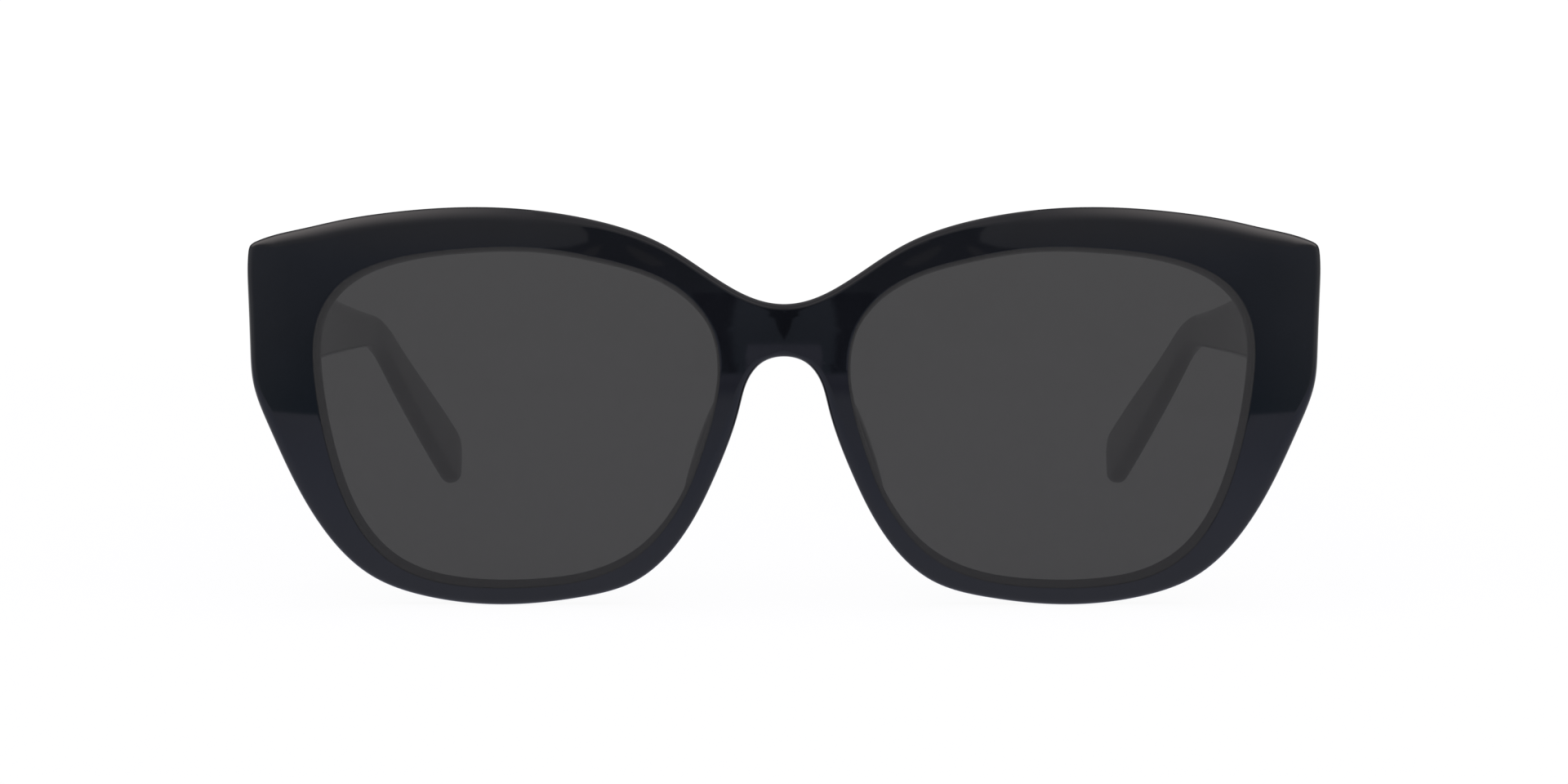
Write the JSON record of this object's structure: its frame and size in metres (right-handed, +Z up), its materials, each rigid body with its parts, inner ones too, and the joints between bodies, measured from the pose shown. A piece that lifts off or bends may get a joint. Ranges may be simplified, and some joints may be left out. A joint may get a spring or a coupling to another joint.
{
  "type": "cat eye sunglasses",
  "caption": "Cat eye sunglasses: thick acetate front with upswept end-pieces, tinted lenses, and tapered temples that fold on barrel hinges.",
  "frame": {"origin": "middle of the footprint on the table the sunglasses stand on, temples open", "axes": "+X towards the wearer's left, the front faces -Y, the temples run towards +Y, +Z up"},
  "size_m": [0.1408, 0.1472, 0.0521],
  "materials": {
    "acetate": "polished black acetate",
    "lens": "polished, dark grey tint",
    "pad": "polished black acetate",
    "hinge": "tumbled nickel silver",
    "screw": "turned steel",
    "wire": "drawn flat wire"
  },
  "bodies": {
    "front": {"front_frame": "acetate", "lens_left": "lens", "lens_right": "lens", "nose_pad_left": "pad", "nose_pad_right": "pad", "front_hinge_left": "hinge", "front_hinge_right": "hinge", "hinge_screw_left": "screw", "hinge_screw_right": "screw"},
    "left_temple": {"temple_left": "acetate", "temple_hinge_left": "hinge", "core_wire_left": "wire"},
    "right_temple": {"temple_right": "acetate", "temple_hinge_right": "hinge", "core_wire_right": "wire"}
  },
  "joints": [
    {"name": "left_fold", "type": "hinge", "parent": "front", "child": "left_temple", "pos_m": [0.0629, -0.06218, 0.03688], "axis": [0, 0, 1], "range_deg": [0, 86]},
    {"name": "right_fold", "type": "hinge", "parent": "front", "child": "right_temple", "pos_m": [-0.0629, -0.06218, 0.03688], "axis": [0, 0, 1], "range_deg": [-80, 0]}
  ]
}
